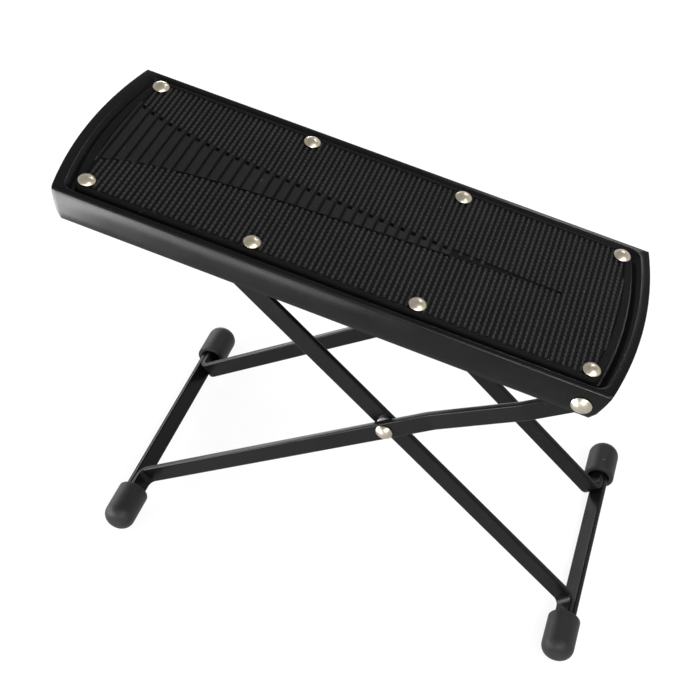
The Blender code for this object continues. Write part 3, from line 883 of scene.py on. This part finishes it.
def rounded_path(points, radii):
    """A path with its inner corners replaced by arcs of the given radii."""
    path = [Vector(points[0])]
    for before, corner, after, radius in zip(points, points[1:], points[2:], radii):
        corner = Vector(corner)
        back = (Vector(before) - corner).normalized()
        ahead = (Vector(after) - corner).normalized()
        half = math.acos(max(-1, min(1, back.dot(ahead)))) / 2
        centre = corner + (back + ahead).normalized() * radius / math.sin(half)
        first = corner + back * radius / math.tan(half) - centre
        last = corner + ahead * radius / math.tan(half) - centre
        sweep = first.angle_signed(last)
        for i in range(bar_bend_steps + 1):
            angle = math.atan2(first.y, first.x) - sweep * i / bar_bend_steps
            path.append(centre + Vector((math.cos(angle), math.sin(angle))) * radius)
    path.append(Vector(points[-1]))
    return path


def path_frames(path):
    """Distance along a path, point and mitred normal at each of its corners."""
    frames = []
    travelled = 0
    for i, point in enumerate(path):
        before = path[max(i - 1, 0)]
        after = path[min(i + 1, len(path) - 1)]
        along_in = (point - before).normalized() if i > 0 else (after - point).normalized()
        along_out = (after - point).normalized() if i < len(path) - 1 else along_in
        mean = (along_in + along_out).normalized()
        normal = Vector((-mean.y, mean.x)) / mean.dot(along_in)
        travelled += (point - before).length
        frames.append((travelled, point, normal))
    return frames


def on_path(frames, distance):
    """Point and normal at a distance along a path; exact at its corners."""
    for first, second in zip(frames, frames[1:]):
        if distance <= second[0]:
            share = (distance - first[0]) / (second[0] - first[0])
            if share <= 0:
                return first[1], first[2]
            if share >= 1:
                return second[1], second[2]
            ahead = (second[1] - first[1]).normalized()
            return first[1].lerp(second[1], share), Vector((-ahead.y, ahead.x))
    return frames[-1][1], frames[-1][2]


def edge_layers(thickness, edge):
    """Offset through the thickness and inset of the outline for each layer of a rounded edge."""
    half = thickness / 2
    layers = [(-half, edge * bar_edge_support)]
    for i in range(bar_edge_steps + 1):
        angle = math.pi / 2 * i / bar_edge_steps
        layers.append((-half + edge * (1 - math.cos(angle)), edge * (1 - math.sin(angle))))
    return layers + [(-offset, inset) for offset, inset in reversed(layers)]


def bar_stations(frames, inset, round_start):
    """Distance and half width of a bar at each place along one layer of it."""
    half = bar_width / 2
    reach = half - inset
    if round_start:
        stations = []
        for i in range(bar_tip_steps + 1):
            angle = math.pi / 2 * i / bar_tip_steps
            stations.append((half - reach * math.cos(angle), reach * math.sin(angle)))
    else:
        stations = [(inset, reach)]
    return stations + [(distance, reach) for distance, point, normal in frames[1:]]


def bar_shape(path, round_start):
    """Flat bar bent along a path in XY, its width along Z, with rounded edges."""
    frames = path_frames(path)
    shape = bmesh.new()
    columns = []
    for offset, inset in edge_layers(bar_thickness, bar_edge_round):
        upper, lower = [], []
        for distance, reach in bar_stations(frames, inset, round_start):
            point, normal = on_path(frames, distance)
            spot = point + normal * offset
            upper.append(shape.verts.new((spot.x, spot.y, reach)))
            if reach > same_point:
                lower.append(shape.verts.new((spot.x, spot.y, -reach)))
            else:
                lower.append(upper[-1])
        columns.append((upper, lower))
    for (upper, lower), (next_upper, next_lower) in zip(columns, columns[1:]):
        for first, second in ((upper, next_upper), (lower, next_lower)):
            for i in range(len(first) - 1):
                shape.faces.new((first[i], first[i + 1], second[i + 1], second[i]))
        if not round_start:
            shape.faces.new((upper[0], next_upper[0], next_lower[0], lower[0]))
    for upper, lower in (columns[0], columns[-1]):
        for i in range(len(upper) - 1):
            corners = dict.fromkeys((upper[i], upper[i + 1], lower[i + 1], lower[i]))
            shape.faces.new(list(corners))
    end_top = [upper[-1] for upper, lower in columns]
    end_bottom = [lower[-1] for upper, lower in reversed(columns)]
    shape.faces.new(end_top + end_bottom)
    return shape


def add_flat_bar(name, path, round_start, material, letter, axes):
    """A flat bar of one frame that stands for the node of its name."""
    add_piece("bar_" + name, bar_shape(path, round_start), material, f"frame_{letter}", axes,
              name)


def make_bars(material, letter, axes, foot_reach, foot_mouth):
    """Two bent legs of one frame and the straight bar between its feet."""
    tab_end = foot_mouth + foot_length - foot_end_wall - bar_end_gap
    foot_along = -foot_reach + bar_thickness / 2 + fit_gap / 2
    foot_bend = foot_bend_radius + bar_thickness / 2
    for side in (-1, 1):
        if letter == "a":
            top = leg_a_top_face - bar_thickness / 2
            lower = leg_a_face - bar_thickness / 2
            points = [(hinge_reach + bar_width / 2, top), (joggle_start + joggle_length, top),
                      (joggle_start, lower), (foot_along, lower), (foot_along, tab_end)]
            radii = [joggle_bend_radius, joggle_bend_radius, foot_bend]
        else:
            lower = leg_b_face - bar_thickness / 2
            points = [(latch_reach + bar_width / 2, lower), (foot_along, lower),
                      (foot_along, tab_end)]
            radii = [foot_bend]
        path = rounded_path([(x, side * y) for x, y in points], radii)
        add_flat_bar(f"leg_{letter}_{side_name(side)}", path, True, material, letter, axes)
    along = -foot_reach - bar_thickness / 2 - fit_gap / 2
    path = [Vector((along, -tab_end)), Vector((along, tab_end))]
    add_flat_bar(f"crossbar_{letter}", path, False, material, letter, axes)


# Stage

def make_floor():
    """White studio floor: camera, gloss and glass see it mostly as plain white, with a shadow."""
    mesh = bpy.data.meshes.new("floor")
    shape = bmesh.new()
    bmesh.ops.create_grid(shape, x_segments=1, y_segments=1, size=floor_reach)
    shape.to_mesh(mesh)
    shape.free()
    floor = bpy.data.objects.new("floor", mesh)
    bpy.context.scene.collection.objects.link(floor)
    material, nodes, links, shader = new_material("floor_white")
    shader.inputs["Base Color"].default_value = floor_color
    shader.inputs["Roughness"].default_value = floor_roughness
    shader.inputs["Specular IOR Level"].default_value = floor_gloss
    glow = nodes.new("ShaderNodeEmission")
    ray = nodes.new("ShaderNodeLightPath")
    seen = ray.outputs["Is Camera Ray"]
    for kind in ("Is Glossy Ray", "Is Transmission Ray"):
        either = add_node(nodes, "ShaderNodeMath", operation="MAXIMUM")
        links.new(seen, either.inputs[0])
        links.new(ray.outputs[kind], either.inputs[1])
        seen = either.outputs[0]
    share = add_node(nodes, "ShaderNodeMath", operation="MULTIPLY")
    links.new(seen, share.inputs[0])
    share.inputs[1].default_value = floor_glow
    mix = nodes.new("ShaderNodeMixShader")
    links.new(share.outputs[0], mix.inputs["Fac"])
    links.new(shader.outputs["BSDF"], mix.inputs[1])
    links.new(glow.outputs["Emission"], mix.inputs[2])
    links.new(mix.outputs["Shader"], nodes["Material Output"].inputs["Surface"])
    floor.data.materials.append(material)


def aim(obj, target, roll=0.0):
    """Point an object's -Z at a target, with its top upright and then rolled."""
    back = (obj.location - target).normalized()
    right = Vector((0, 0, 1)).cross(back).normalized()
    up = back.cross(right)
    turn = Matrix((right, up, back)).transposed()
    obj.rotation_euler = (turn @ Matrix.Rotation(roll, 3, "Z")).to_euler()


def add_softbox(name, place, target, size, radiance, glossy=True):
    """Rectangular area light of a given radiance, not seen directly by the camera."""
    lamp = bpy.data.lights.new(name, "AREA")
    lamp.shape = "RECTANGLE"
    lamp.size, lamp.size_y = size
    lamp.energy = radiance * math.pi * size[0] * size[1]
    obj = bpy.data.objects.new(name, lamp)
    bpy.context.scene.collection.objects.link(obj)
    obj.location = place
    obj.visible_camera = False
    obj.visible_glossy = glossy
    aim(obj, Vector(target))


def make_light():
    """Sky that is white at the horizon and greyer above, and the area lamps."""
    world = bpy.data.worlds.new("studio")
    bpy.context.scene.world = world
    world.use_nodes = True
    nodes = world.node_tree.nodes
    links = world.node_tree.links
    split = nodes.new("ShaderNodeSeparateXYZ")
    links.new(nodes.new("ShaderNodeTexCoord").outputs["Generated"], split.inputs["Vector"])
    sky = nodes["Background"]
    sky.inputs["Color"].default_value = (1, 1, 1, 1)
    strength = add_range(nodes, links, split.outputs["Z"], sky_limits, sky_strength)
    links.new(strength, sky.inputs["Strength"])
    for lamp in lamps:
        add_softbox(*lamp)
    add_softbox(*fill_lamp, glossy=False)


def make_camera():
    lens = bpy.data.cameras.new("camera")
    lens.lens = camera_lens
    lens.sensor_width = camera_sensor
    camera = bpy.data.objects.new("camera", lens)
    bpy.context.scene.collection.objects.link(camera)
    away = Vector((math.sin(camera_azimuth) * math.cos(camera_elevation),
                   -math.cos(camera_azimuth) * math.cos(camera_elevation),
                   math.sin(camera_elevation)))
    camera.location = camera_target + away * camera_distance
    aim(camera, camera_target, camera_roll)
    bpy.context.scene.camera = camera


def set_material(obj, material):
    for slot in obj.material_slots:
        slot.material = material


def dress_model(frame):
    """Finer pieces in place of most nodes, and materials on the model's own nodes."""
    paint = satin_paint()
    rubber = {name: moulded_rubber(name, *values) for name, values in rubbers.items()}
    steel = {name: plated_steel(name, *values) for name, values in platings.items()}
    tread_frame = Matrix.Translation(tread_origin) @ Matrix.Rotation(tread_slope, 4, "Y")
    frame_a = Matrix.Translation(pivot_place) @ Matrix.Rotation(-leg_angle_a, 4, "Y")
    frame_b = Matrix.Translation(pivot_place) @ Matrix.Rotation(math.pi + leg_angle_b, 4, "Y")
    make_plate(paint, tread_frame)
    # Slab, ribs and bars of the mat in painted shaded and lit tones of one rubber, then its
    # painted shade sheets
    mat_rubbers = ("shaded_slab_rubber", "lit_rib_rubber", "shaded_bar_rubber", "painted_shade_sheet")
    make_mat([rubber[name] for name in mat_rubbers], tread_frame)
    make_rivets(steel["nickel_plate"], steel["shaded_nickel_plate"], tread_frame, frame_a)
    for letter, axes, reach, face in (("a", frame_a, foot_reach_a, leg_a_face),
                                      ("b", frame_b, foot_reach_b, leg_b_face)):
        make_bars(paint, letter, axes, reach, face + foot_stand_off)
        make_feet(rubber["foot_rubber"], letter, axes, reach, face + foot_stand_off)
    for name, obj in frame["nodes"].items():
        if name.startswith(("tread", "rack", "leg", "crossbar")):
            set_material(obj, paint)
        elif name.startswith("foot"):
            set_material(obj, rubber["foot_rubber"])
        elif name == "rubber_mat":
            set_material(obj, rubber["shaded_slab_rubber"])
        elif name.startswith("pivot_washer"):
            # Paler plating as painted light
            set_material(obj, steel["pale_washer_plate"])
        else:
            set_material(obj, steel["nickel_plate"])


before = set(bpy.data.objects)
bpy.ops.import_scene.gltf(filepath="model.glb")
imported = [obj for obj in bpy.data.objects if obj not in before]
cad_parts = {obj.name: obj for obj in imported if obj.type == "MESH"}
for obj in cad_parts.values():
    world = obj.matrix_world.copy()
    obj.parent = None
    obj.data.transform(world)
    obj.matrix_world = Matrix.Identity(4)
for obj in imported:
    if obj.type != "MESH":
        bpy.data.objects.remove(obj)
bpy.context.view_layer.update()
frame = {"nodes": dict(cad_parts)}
bpy.context.scene.view_settings.view_transform = "Standard"
dress_model(frame)
make_floor()
make_light()
make_camera()
